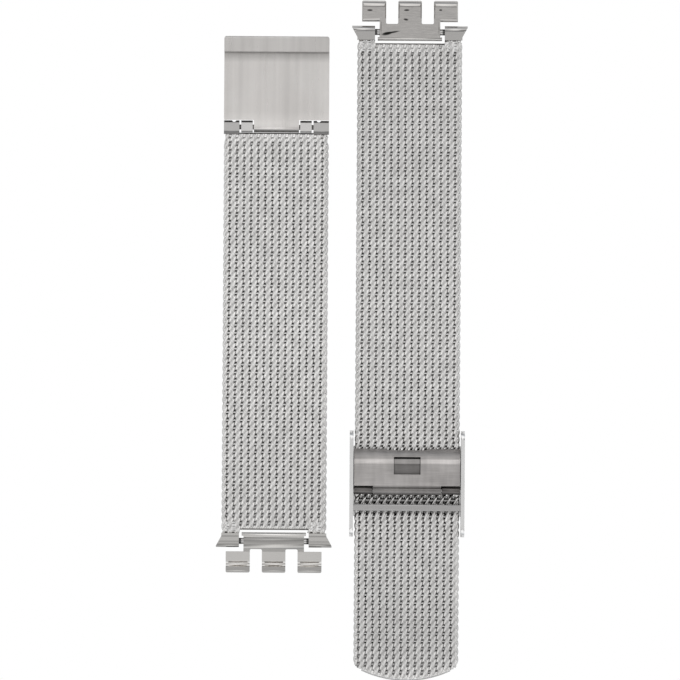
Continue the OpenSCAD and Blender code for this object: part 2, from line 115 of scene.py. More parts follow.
# Row that shows in the gap between the lid's roll and the hook bar: its turns' length as a share of
# the others'. The row nearest to the second value above the gap's middle is moved to that middle
OPEN_ROW_LENGTH = 0.68
OPEN_ROW_SHIFT = 0.3
# Rows beside it, which the clasp presses flat: their reach, their thickness as a share, their drop
PRESSED_REACH = 1.7
PRESSED_THICK = 0.3
PRESSED_DROP = 0.35
# Straight wires through each row: radius, height over the cloth's middle, shift along the strap.
# The thin one bridges the holes, and the thick one, dark from the painted shade inside the cloth, is the dark
# ground behind them
CROSS_WIRE = (0.085, 0.45, 0.6)
CORE_WIRE = (0.3, -0.1, 0.62)
# Points and sides of those straight wires
THROUGH_POINTS = 41
THROUGH_SIDES = 6
# Stretches without thin wires at a strap's lower and upper end
BARE_ENDS = (6.0, 5.2)
# Radii of the rounded loop at both ends of each row
EDGE_LOOP = (0.42, 0.8, 0.6)
# Radius and sides of the rods that fill the rows at a strap's ends
EDGE_ROD_R = 0.45
EDGE_ROD_SIDES = 12
# Those rods' distances from the end, in radii, in a strap's middle and in its corners
END_ROWS = (1, 2.6)
CORNER_ROWS = (1, 2.2, 3.4)
# Heights of the rods in the corners
CORNER_LEVELS = (-0.2, 0.2)
# How much further a strap's corners reach than its middle
CORNER_TAB = 0.5
# Rounding of the long strap's tip and of its two corners, and points of the bead along it
TIP_ARC_R = 17.0
TIP_CORNER_R = 1.2
TIP_POINTS = 33
# Halvings that find where a wire leaves the outline, the least step that is kept there, and the
# fewest points of a wire
CUT_HALVINGS = 6
LEAST_STEP = 0.001
FEWEST_POINTS = 4
# Most rows in a piece that rides on one body, and how far a piece over a joint reaches to both sides of it
ROWS_PER_PIECE = 12
BLEND_REACH = 3.2

# Tones: factors on a material's colour, as (place, factor) pairs along one axis

# Wire by height over the cloth's middle: painted shade inside the cloth, full colour on both faces
WIRE_DEPTH_SHADE = [(-0.5, 1), (-0.25, 0.42), (0.1, 0.42), (0.42, 1)]
# Wire by place along each strap: painted light and shade
STRAP_LIGHT_AND_SHADE = {
    "short": [(-34, 0.99), (-24, 1.0), (-5, 1.065), (5, 1.075), (15, 1.04), (34, 1.05)],
    "long": [
        (-55, 1.03), (-52, 0.97), (-48, 0.87), (-41, 0.95), (-30, 0.98), (-12, 0.99), (-4, 1.02),
        (11, 1.02), (25, 0.98), (40, 0.95), (52, 0.965),
    ],
}
# Hook plate from the hinge pin: painted shade in the knuckle gap, painted light on the tongue and beyond
PLATE_FROM_PIN = [(-0.9, 0.3), (-0.5, 0.5), (-0.1, 1.3), (0.6, 1.36), (1.4, 1.29), (2.5, 1.2)]
# Hook plate from its tip: a painted shadow and a painted dark line of shade before the fold
PLATE_FROM_TIP = [
    (-4.2, 1.2), (-3.3, 0.95), (-2.75, 0.9), (-2.7, 0.7), (-2.5, 0.7), (-2.45, 1.03), (-0.3, 1.03), (0, 0.9),
]
# Sleeves and hinge shoulders: painted shade on the roundings at their lower and upper edges, the flat face's
# distances from both edges, and its painted light on the shoulders and on the sleeves
KNUCKLE_FROM_LOW = [(0, 0.5), (0.18, 0.5)]
KNUCKLE_FROM_HIGH = [(-0.3, 0.4), (0, 0.35)]
KNUCKLE_FLAT = (0.24, -0.36)
SHOULDER_LEVEL = 1.12
SLEEVE_LEVEL = 1.45
# Short end link's wrist side from its lower edge: a little painted shade, a bar of painted light, then the
# prongs in painted light
WRIST_FROM_LOW = [(0, 0.87), (0.85, 0.84), (1.1, 1.35), (1.95, 1.35), (2.0, 1.26), (3.35, 1.26), (3.45, 0.92)]
# The same from its upper edge: painted shade in a hollow, then painted light on a rim
WRIST_FROM_HIGH = [(-1.75, 0.88), (-1.3, 0.66), (-0.85, 0.6), (-0.8, 1.3), (-0.1, 1.3), (0, 1.1)]
# Short strap's link shoulders from their lower edge, painted shade that turns into painted light, and the
# last tone before their upper edge
WRIST_SHOULDER_FROM_LOW = [(0, 0.72), (0.5, 0.75), (1.0, 1.1)]
WRIST_SHOULDER_END = (-0.1, 1.15)
# Lines of painted shade across those shoulders: places from the upper edge, half the width of the dark middle
# and of the whole line, and the painted light of the face beside it
SHOULDER_SHADE_LINES = [(-1.35, 0.7), (-0.5, 0.75)]
SHOULDER_SHADE_HALF = (0.06, 0.16)
SHOULDER_FACE_LIGHT = 1.12
# Lid from its lower edge: painted shade on the roll, and the face beside it
LID_FROM_LOW = [(0, 0.66), (1.4, 0.66), (1.6, 1.12)]
# Lid from its nose: the face, a painted highlight band, and the nose, darkened as a painted reflection
LID_FROM_NOSE = [(-2.5, 1.2), (-2.3, 1.78), (-1.85, 1.78), (-1.55, 0.98), (0, 0.98)]
# Pry pocket: its width, its distance from the pivot, and the lengths of its floor, step and slit
POCKET_W = 4.3
POCKET_FROM = 2.6
POCKET_FLOOR = 1.65
POCKET_STEP = 0.85
POCKET_SLIT = 0.3
# Painted shade of the pocket's floor, step and slit, and of its rim and its inner edge
POCKET_TONES = (0.48, 0.64, 0.04)
POCKET_RIM = 0.5
POCKET_INNER = 0.9
# Widths over which the pocket's rim, its inner edge and its outline fade
RIM_FADE = 0.2
INNER_FADE = 0.15
OUTLINE_FADE = 0.02
# Pins: tone of the painted shade beside the shoulders, half the width of the bright stretch, and the fade
# between them
PIN_SHADE_TONE = 0.2
PIN_LIT_HALF = 5.25
PIN_SHADE_FADE = 0.05
# Painted dark reflections on the long strap's link: place across and along, half length, half height, slope
PAINTED_REFLECTIONS = (
    (4.25, 53.45, 0.42, 0.14, 0), (10.2, 53.49, 0.42, 0.14, 0.03), (10.09, 51.97, 0.36, 0.16, -0.15),
    (15.7, 53.53, 0.24, 0.13, 0), (7.0, 49.68, 0.75, 0.26, 0.17), (7.75, 49.86, 1.2, 0.15, 0.17),
)
# A painted reflection's tone, and where its fade starts and ends: 0 is its middle and 1 its outline
PAINTED_REFLECTION_TONE = 0.12
PAINTED_REFLECTION_EDGE = (0.5, 1.5)
# Darkest and lightest factor of the fine lines on that link
LINK_DULL = (0.93, 0.925, 0.92)
LINK_BRIGHT = (1.1, 1.09, 1.08)
# Fineness of the broad bands on the plate and the lid, in bands a millimetre, and their strength
PLATE_BAND_GRAIN = (0.7, 0.02, 0.7)
PLATE_BANDS = 0.07
LID_BAND_GRAIN = (0.9, 0.15, 0.9)
LID_BANDS = 0.1

# Fittings

# Width of the broken edges, the least angle that is broken, in degrees, and the welding distance
EDGE_WIDTH = 0.07
EDGE_ANGLE = 35
WELD_REACH = 0.002

# Studio

# The photograph's frame: its size, its scale, the place at its centre and its lean in degrees
PHOTO_PX = 680
MM_PER_PX = 0.1618
VIEW_CENTRE = (-0.24, 0.05)
VIEW_LEAN = 0.38
# Camera: its height, the height at which the scale holds, and its sensor's width
CAMERA_UP = 1400.0
SCALE_UP = 2.0
SENSOR = 36.0
# Floor: half its size in metres, how far it lies under the object, and its own colour
FLOOR_HALF = 3.0
FLOOR_DROP = 0.05
FLOOR_GREY = 0.9
# Share of white that the floor shows to the camera, and to what mirrors it
FLOOR_SHOWN = 1.0
FLOOR_MIRRORED = 0.35


def grey(level, warm=0.0):
    """Grey of one level, warmed or cooled a little."""
    return (level * (1 + warm), level, level * (1 - warm))


# Brightness of the light tent by the angle from overhead, in degrees: towards the straps' upper
# ends, towards their lower ends, and across them
SKY_UP_STRAP = [
    (0, grey(0.62)), (9, grey(0.62)), (13, grey(1.15)), (50, grey(1.15)), (60, grey(0.5, -0.04)),
    (75, grey(0.3, -0.06)), (90, grey(0.2)), (180, grey(0.3)),
]
SKY_DOWN_STRAP = [
    (0, grey(0.62)), (9, grey(0.62)), (13, grey(1.1)), (50, grey(1.1)), (62, grey(0.75, -0.02)),
    (75, grey(0.5, -0.04)), (90, grey(0.25)), (180, grey(0.3)),
]
SKY_ACROSS = [
    (0, grey(0.62)), (9, grey(0.6)), (15, grey(0.2)), (42, grey(0.2)), (50, grey(0.95)), (75, grey(0.9)),
    (90, grey(0.3)), (180, grey(0.3)),
]
# Half the width over which the upper ends' light turns into the lower ends'
SKY_TURN = 0.1


# Shaders

# Values that most of a noise lies between
NOISE_LOW = 0.3
NOISE_HIGH = 0.7


class Shader:
    """Small builder for one material's or world's node tree, which it empties first."""

    def __init__(self, owner):
        owner.use_nodes = True
        self.tree = owner.node_tree
        self.tree.nodes.clear()

    def node(self, kind, **settings):
        """A new node with some of its settings changed."""
        made = self.tree.nodes.new(kind)
        for key, value in settings.items():
            setattr(made, key, value)
        return made

    def put(self, value, target):
        """Sets a socket to a value, or links it to another socket."""
        if isinstance(value, bpy.types.NodeSocket):
            self.tree.links.new(value, target)
        else:
            target.default_value = value

    def formula(self, kind, *values, clamp=False):
        """One sum on its values, each a socket or a number."""
        made = self.node("ShaderNodeMath", operation=kind, use_clamp=clamp)
        for target, value in zip(made.inputs, values):
            self.put(value, target)
        return made.outputs["Value"]

    def remap(self, source, start, stop, low=0.0, high=1.0):
        """Maps the range from start to stop to the one from low to high."""
        made = self.node("ShaderNodeMapRange")
        made.inputs["From Min"].default_value = start
        made.inputs["From Max"].default_value = stop
        made.inputs["To Min"].default_value = low
        made.inputs["To Max"].default_value = high
        self.put(source, made.inputs["Value"])
        return made.outputs["Result"]

    def ramp(self, source, stops):
        """Colour that follows a value, as (value, colour) pairs from the lowest up."""
        made = self.node("ShaderNodeValToRGB")
        elements = made.color_ramp.elements
        elements.remove(elements[1])
        for index, (place, colour) in enumerate(stops):
            stop = elements.new(place) if index else elements[0]
            stop.position = place
            stop.color = (*colour, 1)
        self.put(source, made.inputs["Fac"])
        return made.outputs["Color"]

    def mix(self, share, first, second, kind="MIX"):
        """Mixture of two colours, which are this node's sockets 6 and 7."""
        made = self.node("ShaderNodeMix", data_type="RGBA", blend_type=kind)
        self.put(share, made.inputs[0])
        self.put(first, made.inputs[6])
        self.put(second, made.inputs[7])
        return made.outputs[2]

    def times(self, colour, factor):
        """Colour times a factor."""
        return self.mix(1.0, colour, factor, "MULTIPLY")

    def coords(self, scale=(1, 1, 1)):
        """Coordinates in the object's own millimetres, times scale on each axis."""
        place = self.node("ShaderNodeTexCoord")
        mapping = self.node("ShaderNodeMapping")
        mapping.inputs["Scale"].default_value = [s / MM for s in scale]
        self.put(place.outputs["Object"], mapping.inputs["Vector"])
        return mapping.outputs["Vector"]

    def split(self, vector):
        """A vector's X, Y and Z."""
        made = self.node("ShaderNodeSeparateXYZ")
        self.put(vector, made.inputs["Vector"])
        return made.outputs

    def noise(self, grain, detail=3.0, rough=0.5):
        """Noise with so many waves a millimetre on each axis."""
        made = self.node("ShaderNodeTexNoise")
        made.inputs["Scale"].default_value = 1.0
        made.inputs["Detail"].default_value = detail
        made.inputs["Roughness"].default_value = rough
        self.put(self.coords(grain), made.inputs["Vector"])
        return made.outputs["Fac"]

    def between(self, noise, dark, light):
        """Colour from dark to light by a noise."""
        return self.ramp(noise, [(NOISE_LOW, dark), (NOISE_HIGH, light)])

    def zone(self, axis, stops):
        """Factor that follows the place along one axis, as (place, factor) pairs."""
        low, high = stops[0][0], stops[-1][0]
        along = self.remap(self.split(self.coords())[axis], low, high)
        return self.ramp(along, [((place - low) / (high - low), grey(factor)) for place, factor in stops])

    def streaked(self, colour, noise, strength):
        """Colour that a noise makes lighter and darker by a share."""
        return self.times(colour, self.between(noise, grey(1 - strength), grey(1 + strength)))


def steel(name, dark, light, rough, grain, depth, smudge=0.12, shade=None):
    """Bare steel between two colours and two roughnesses.

    grain is the brushing's fineness on each axis in lines a millimetre, and depth is its depth.
    smudge is the fineness of the cloudy change from dark to light. shade is a function of the shader,
    the colour and the brushing's noise, and gives the colour as it is used.
    """
    material = bpy.data.materials.new(name)
    s = Shader(material)
    out = s.node("ShaderNodeOutputMaterial")
    bsdf = s.node("ShaderNodeBsdfPrincipled")
    bsdf.inputs["Metallic"].default_value = 1.0
    s.put(bsdf.outputs["BSDF"], out.inputs["Surface"])
    colour = s.between(s.noise((smudge, smudge, smudge)), dark, light)
    lines = s.noise(grain, rough=0.6)
    if shade:
        colour = shade(s, colour, lines)
    s.put(colour, bsdf.inputs["Base Color"])
    s.put(s.remap(lines, NOISE_LOW, NOISE_HIGH, *rough), bsdf.inputs["Roughness"])
    bump = s.node("ShaderNodeBump")
    bump.inputs["Strength"].default_value = 1.0
    bump.inputs["Distance"].default_value = depth * MM
    s.put(lines, bump.inputs["Height"])
    s.put(bump.outputs["Normal"], bsdf.inputs["Normal"])
    return material


def mm_box(node):
    """A node's lowest and highest corners."""
    low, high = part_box(node)
    return Vector(low) / MM, Vector(high) / MM


def middle_of(node):
    """The middle of a node's box."""
    low, high = mm_box(node)
    return (low + high) / 2


def placed(stops, start):
    """Tones moved along their axis."""
    return [(start + place, factor) for place, factor in stops]


# Shades: functions of the shader, the colour and the brushing's noise

def toned(axis, stops):
    """Shade that follows the place along one axis."""
    def shade(s, colour, lines):
        return s.times(colour, s.zone(axis, stops))
    return shade


def plate_shade(s, colour, lines):
    """Hook plate: painted light at the tongue, painted shade towards the fold, with broad bands of brushing.
    """
    pin_y = middle_of("hinge_pin").y
    tip = mm_box("hook_plate")[1].y
    stops = placed(PLATE_FROM_PIN, pin_y) + placed(PLATE_FROM_TIP, tip)
    colour = s.times(colour, s.zone("Y", stops))
    return s.streaked(colour, s.noise(PLATE_BAND_GRAIN, detail=2.0), PLATE_BANDS)


def lid_shade(s, colour, lines):
    """Lid: painted shade on the roll, a plain face, a painted highlight band before the nose, painted darker
    as a reflection, and the pocket's painted shade.
    """
    low, high = mm_box("lock_lid")
    stops = placed(LID_FROM_LOW, low.y) + placed(LID_FROM_NOSE, high.y)
    colour = s.streaked(colour, lines, LID_BANDS)
    colour = s.streaked(colour, s.noise(LID_BAND_GRAIN), LID_BANDS)
    return s.times(s.times(colour, s.zone("Y", stops)), pocket_factor(s))


def pocket_factor(s):
    """Factor of painted shade on the pry pocket's floor, its step and its slit, which is 1 beside them."""
    middle = middle_of("lock_lid").x
    left = middle - POCKET_W / 2
    right = middle + POCKET_W / 2
    floor_y = middle_of("lid_pin").y + POCKET_FROM
    step_y = floor_y + POCKET_FLOOR
    slit_y = step_y + POCKET_STEP
    end_y = slit_y + POCKET_SLIT
    floor_tone, step_tone, slit_tone = POCKET_TONES
    wide = s.zone("X", [(left - OUTLINE_FADE, 0), (left, 1), (right, 1), (right + OUTLINE_FADE, 0)])
    tall = s.zone("Y", [(floor_y - OUTLINE_FADE, 0), (floor_y, 1), (end_y, 1), (end_y + OUTLINE_FADE, 0)])
    tone = s.zone("Y", [
        (floor_y - OUTLINE_FADE, 1), (floor_y, floor_tone), (step_y - OUTLINE_FADE, floor_tone),
        (step_y, step_tone), (slit_y - OUTLINE_FADE, step_tone), (slit_y, slit_tone),
        (end_y, slit_tone), (end_y + OUTLINE_FADE, 1),
    ])
    sides = s.zone("X", [
        (left, POCKET_RIM), (left + RIM_FADE, 1), (right - RIM_FADE, 1), (right, POCKET_RIM),
    ])
    floor = s.zone("Y", [
        (floor_y, POCKET_RIM), (floor_y + RIM_FADE, 1), (step_y - INNER_FADE, 1), (step_y, POCKET_INNER),
    ])
    tone = s.times(s.times(tone, sides), floor)
    return s.mix(s.times(wide, tall), (*grey(1), 1), tone)


def pin_painted_shade(node):
    """Shade that leaves a pin bright in the middle, with painted shade beside the shoulders that hold it."""
    low, high = mm_box(node)
    middle = middle_of(node).x
    left = middle - PIN_LIT_HALF
    right = middle + PIN_LIT_HALF
    return toned("X", [
        (low.x, PIN_SHADE_TONE), (left - PIN_SHADE_FADE, PIN_SHADE_TONE), (left, 1),
        (right, 1), (right + PIN_SHADE_FADE, PIN_SHADE_TONE), (high.x, PIN_SHADE_TONE),
    ])


def painted_reflections(s, colour, lines):
    """Shade with the thin dark reflections painted on the polished link."""
    place = s.split(s.coords())
    colour = s.times(colour, s.between(lines, LINK_DULL, LINK_BRIGHT))
    for x, y, length, height, slope in PAINTED_REFLECTIONS:
        across = s.formula("SUBTRACT", place["X"], x)
        level = s.formula("MULTIPLY", across, slope)
        up = s.formula("SUBTRACT", s.formula("SUBTRACT", place["Y"], y), level)
        parts = [
            s.formula("POWER", s.formula("ABSOLUTE", s.formula("DIVIDE", value, reach)), 2)
            for value, reach in ((across, length), (up, height))
        ]
        colour = s.times(colour, s.remap(s.formula("ADD", *parts), *PAINTED_REFLECTION_EDGE, PAINTED_REFLECTION_TONE))
    return colour


def knuckle(level):
    """Shade of the sleeves and hinge shoulders: a flat face with painted light between two rounded edges with
    painted shade.
    """
    low, high = mm_box("hinge_sleeve_left")
    flat = [(low.y + KNUCKLE_FLAT[0], level), (high.y + KNUCKLE_FLAT[1], level)]
    return toned("Y", placed(KNUCKLE_FROM_LOW, low.y) + flat + placed(KNUCKLE_FROM_HIGH, high.y))


def wrist_side():
    """Painted light and shade of the short end link's wrist side."""
    low, high = mm_box("short_end_link")
    return toned("Y", placed(WRIST_FROM_LOW, low.y) + placed(WRIST_FROM_HIGH, high.y))


def wrist_shoulder():
    """Shade of the short strap's link shoulders: lines of painted shade across a face of painted light."""
    low, high = mm_box("short_link_shoulder_left")
    inner, outer = SHOULDER_SHADE_HALF
    from_high = []
    for line, tone in SHOULDER_SHADE_LINES:
        from_high += [(line - outer, SHOULDER_FACE_LIGHT), (line - inner, tone)]
        from_high += [(line + inner, tone), (line + outer, SHOULDER_FACE_LIGHT)]
    from_high.append(WRIST_SHOULDER_END)
    return toned("Y", placed(WRIST_SHOULDER_FROM_LOW, low.y) + placed(from_high, high.y))


# Materials

def wire_steel(strap, height):
    """Wire of one strap whose cloth's middle lies at a height, with painted shade inside the cloth and
    painted light and shade along the strap.
    """
    by_height = toned("Z", placed(WIRE_DEPTH_SHADE, height))
    by_place = toned("Y", STRAP_LIGHT_AND_SHADE[strap])

    def shade(s, colour, lines):
        return by_place(s, by_height(s, colour, lines), lines)

    return steel(
        strap + "_wire", dark=(0.73, 0.72, 0.71), light=(0.87, 0.86, 0.85), rough=(0.09, 0.17),
        grain=(1.2, 1.2, 1.2), depth=0.003, smudge=0.6, shade=shade)


POLISH = {
    "dark": (0.585, 0.57, 0.555), "light": (0.62, 0.605, 0.59), "rough": (0.08, 0.14),
    "grain": (0.8, 5.0, 0.8), "depth": 0.0006,
}
HINGE_STEEL = {
    "dark": (0.60, 0.59, 0.58), "light": (0.64, 0.63, 0.62), "rough": (0.12, 0.2),
    "grain": (0.8, 5.0, 0.8), "depth": 0.001,
}
LINK_PIN_STEEL = {
    "dark": (0.62, 0.61, 0.60), "light": (0.68, 0.67, 0.66), "rough": (0.2, 0.3),
    "grain": (0.4, 6.0, 6.0), "depth": 0.002,
}
POLISHED = steel("polished", **POLISH)
# The long strap's link carries painted dark reflections
OUTER_LINK = steel("polished_link", **POLISH, shade=painted_reflections)
# Hinge shoulders and sleeves: one steel, with painted light on their faces and painted shade on their rounded
# edges
KNUCKLE = steel("hinge_knuckles", **HINGE_STEEL, shade=knuckle(SHOULDER_LEVEL))
HINGE_SLEEVE = steel("hinge_sleeves", **HINGE_STEEL, shade=knuckle(SLEEVE_LEVEL))
# Link pins: painted shade beside the shoulders, full colour between them
SHORT_PIN = steel("short_pin", **LINK_PIN_STEEL, shade=pin_painted_shade("short_link_pin"))
LONG_PIN = steel("long_pin", **LINK_PIN_STEEL, shade=pin_painted_shade("long_link_pin"))
WRIST_SIDE = steel(
    "polished_inside", dark=(0.60, 0.585, 0.565), light=(0.64, 0.625, 0.605), rough=(0.12, 0.18),
    grain=(5.0, 0.8, 0.8), depth=0.0006, shade=wrist_side())
WRIST_SHOULDER = steel(
    "wrist_shoulders", dark=(0.62, 0.605, 0.585), light=(0.66, 0.645, 0.625), rough=(0.1, 0.16),
    grain=(0.8, 5.0, 0.8), depth=0.0006, shade=wrist_shoulder())
BRUSHED = steel(
    "brushed_plate", dark=(0.68, 0.655, 0.635), light=(0.74, 0.72, 0.70), rough=(0.26, 0.42),
    grain=(7.0, 0.1, 7.0), depth=0.004, shade=plate_shade)
LID = steel(
    "brushed_lid", dark=(0.42, 0.40, 0.39), light=(0.48, 0.46, 0.45), rough=(0.42, 0.5),
    grain=(0.3, 9.0, 9.0), depth=0.0006, shade=lid_shade)
BAR = steel(
    "brushed_bar", dark=(0.50, 0.49, 0.485), light=(0.56, 0.55, 0.545), rough=(0.2, 0.34),
    grain=(0.2, 9.0, 9.0), depth=0.003)
FRAME = steel(
    "slider_sides", dark=(0.87, 0.865, 0.86), light=(0.95, 0.945, 0.94), rough=(0.2, 0.32),
    grain=(0.3, 0.3, 6.0), depth=0.002)
LID_PIN = steel(
    "pins", dark=(0.55, 0.54, 0.535), light=(0.62, 0.61, 0.605), rough=(0.2, 0.3),
    grain=(0.4, 6.0, 6.0), depth=0.002)
# Steel darkened as painted shade, for the hinge pin and the lid's sleeves
SHADE_STEEL = steel(
    "dull_sleeves", dark=(0.15, 0.14, 0.135), light=(0.19, 0.18, 0.175), rough=(0.3, 0.4),
    grain=(0.4, 6.0, 6.0), depth=0.002)


# Weave: its wires and rods are pairs of vertices and faces, which a piece of cloth collects

def turn_section():
    """One turn of a coil seen along the strap's width: points (y, z) with equal steps round it."""
    angle = np.linspace(0, 2 * math.pi, FINE_STEPS + 1)
    power = 2 / TURN_POWER
    y = -TURN_LENGTH / 2 * np.sign(np.cos(angle)) * np.abs(np.cos(angle)) ** power
    z = TURN_THICK / 2 * np.sign(np.sin(angle)) * np.abs(np.sin(angle)) ** power
    walked = np.concatenate([[0], np.cumsum(np.hypot(np.diff(y), np.diff(z)))])
    even = np.linspace(0, walked[-1], TURN_STEPS + 1)[:-1]
    return np.stack([np.interp(even, walked, y), np.interp(even, walked, z)], axis=1)


SECTION = turn_section()


def coil_line(half_width, shift):
    """Centre line of one row's wire at y = 0, whose slanted front runs take most of its way across."""
    turns = math.ceil(2 * half_width / COLUMN) + SPARE_TURNS
    steps = np.arange(-TURN_STEPS, TURN_STEPS * turns)
    share = (steps % TURN_STEPS) / TURN_STEPS
    front = share * 2 * FRONT_SHARE
    back = FRONT_SHARE + (share * 2 - 1) * (1 - FRONT_SHARE)
    advance = steps // TURN_STEPS + np.where(share < 0.5, front, back)
    x = shift - half_width + advance * COLUMN
    y, z = SECTION[steps % TURN_STEPS].T
    points = np.stack([x, y, z], axis=1)
    return points[np.abs(points[:, 0]) <= half_width]


def straight(y, half_width, count=9):
    """Points of a straight line across the strap."""
    x = np.linspace(-half_width, half_width, count)
    return np.stack([x, np.full(count, y), np.zeros(count)], axis=1)


def cut_point(kept, dropped, inside):
    """Where the stretch from a kept point to a dropped one leaves the outline."""
    for _ in range(CUT_HALVINGS):
        middle = (kept + dropped) / 2
        if inside(middle[None, 0], middle[None, 1])[0]:
            kept = middle
        else:
            dropped = middle
    return kept[None]


def runs_inside(points, inside):
    """Stretches of a wire inside the strap's outline, cut off square where they leave it."""
    keep = inside(points[:, 0], points[:, 1])
    ends = np.flatnonzero(np.diff(keep.astype(int))) + 1
    starts = np.concatenate([[0], ends])
    stops = np.concatenate([ends, [len(points)]])
    for start, stop in zip(starts, stops):
        if not keep[start]:
            continue
        run = points[start:stop]
        if start > 0:
            run = np.concatenate([cut_point(points[start], points[start - 1], inside), run])
        if stop < len(points):
            run = np.concatenate([run, cut_point(points[stop - 1], points[stop], inside)])
        steps = np.linalg.norm(np.diff(run, axis=0), axis=1)
        run = run[np.concatenate([[True], steps > LEAST_STEP])]
        if len(run) >= FEWEST_POINTS:
            yield run


def directions(points):
    """Unit vectors along a line of points."""
    along = np.gradient(points, axis=0)
    return along / np.linalg.norm(along, axis=1)[:, None]


def skin(points, out, side, radius, sides):
    """Round skin along points, closed at both ends. out and side are square to it at each point."""
    angle = np.arange(sides) * 2 * math.pi / sides
    ring = out[:, None] * np.cos(angle)[None, :, None] + side[:, None] * np.sin(angle)[None, :, None]
    verts = (points[:, None] + radius * ring).reshape(-1, 3)
    start = np.arange(len(points) - 1)[:, None] * sides
    this = np.arange(sides)[None, :]
    following = (this + 1) % sides
    corners = [start + this, start + following, start + sides + following, start + sides + this]
    quads = np.stack(corners, axis=2)
    faces = quads.reshape(-1, 4).tolist()
    faces.append(list(range(sides))[::-1])
    faces.append(list(range(len(verts) - sides, len(verts))))
    return verts, faces


def tube(points):
    """Round wire along a coil's points."""
    along = directions(points)
    out = np.cross(along, np.array([1.0, 0.0, 0.0]))
    out /= np.linalg.norm(out, axis=1)[:, None]
    return skin(points, out, np.cross(along, out), WIRE_R, WIRE_SIDES)


def rod(points, radius, sides=EDGE_ROD_SIDES):
    """Round rod along points that run across the strap."""
    up = np.array([0.0, 0.0, 1.0])
    return skin(points, np.cross(directions(points), up), np.tile(-up, (len(points), 1)), radius, sides)


def ellipsoid(centre, radii, rings=8, sides=12):
    """Ellipsoid whose poles lie along y."""
    rise = np.linspace(-math.pi / 2, math.pi / 2, rings + 1)[1:-1]
    turn = np.arange(sides) * 2 * math.pi / sides
    x = np.cos(rise)[:, None] * np.cos(turn)[None, :]
    z = np.cos(rise)[:, None] * np.sin(turn)[None, :]
    y = np.repeat(np.sin(rise)[:, None], sides, axis=1)
    verts = np.stack([x, y, z], axis=2).reshape(-1, 3)
    verts = np.concatenate([verts, [[0, -1, 0], [0, 1, 0]]]) * np.array(radii) + np.array(centre)
    count = (rings - 1) * sides
    faces = []
    for ring in range(rings - 2):
        for side in range(sides):
            after = (side + 1) % sides
            first = ring * sides + side
            second = ring * sides + after
            faces.append([first, first + sides, second + sides, second])
    for side in range(sides):
        after = (side + 1) % sides
        faces.append([count, side, after])
        faces.append([count + 1, count - sides + after, count - sides + side])
    return verts, faces


def row_shift(y, drift):
    """How far a row lies off its even place, across and along the strap."""
    places, across, along = zip(*drift)
    return np.interp(y, places, across), np.interp(y, places, along)


def open_row():
    """Middle of the gap between the lid's roll and the hook bar."""
    return (mm_box("lock_lid")[0].y + mm_box("hook_bar")[1].y) / 2


def pressed(line, y, pitch, gap):
    """A coil's line at y, flatter and lower where the clasp presses it, and shorter in the clasp's gap."""
    off = gap + OPEN_ROW_SHIFT - y
    if abs(off) < pitch / 2:
        return line * np.array([1, OPEN_ROW_LENGTH, 1]) + np.array([0, gap - y, 0])
    if abs(off) < PRESSED_REACH:
        return line * np.array([1, 1, PRESSED_THICK]) - np.array([0, 0, PRESSED_DROP])
    return line


# A flex joint: its place along the strap, the bodies below and above it, and a node of each
Flex = namedtuple("Flex", "y below above node_below node_above")


def strap_chain(strap, prefixes):
    """Flex joints of a strap from its lowest to its highest."""
    bodies = frame["record"]["behaviour"]["bodies"]

    def mesh_node(body):
        return next(n for n in bodies[body] if n.startswith(strap + "_mesh"))

    chain = []
    for joint in frame["joints"]:
        if joint["name"].startswith(prefixes):
            pair = sorted((joint["parent"], joint["child"]), key=lambda body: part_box(mesh_node(body))[0].y)
            chain.append(Flex(joint["pos_m"][1] / MM, *pair, *(mesh_node(body) for body in pair)))
    return sorted(chain)


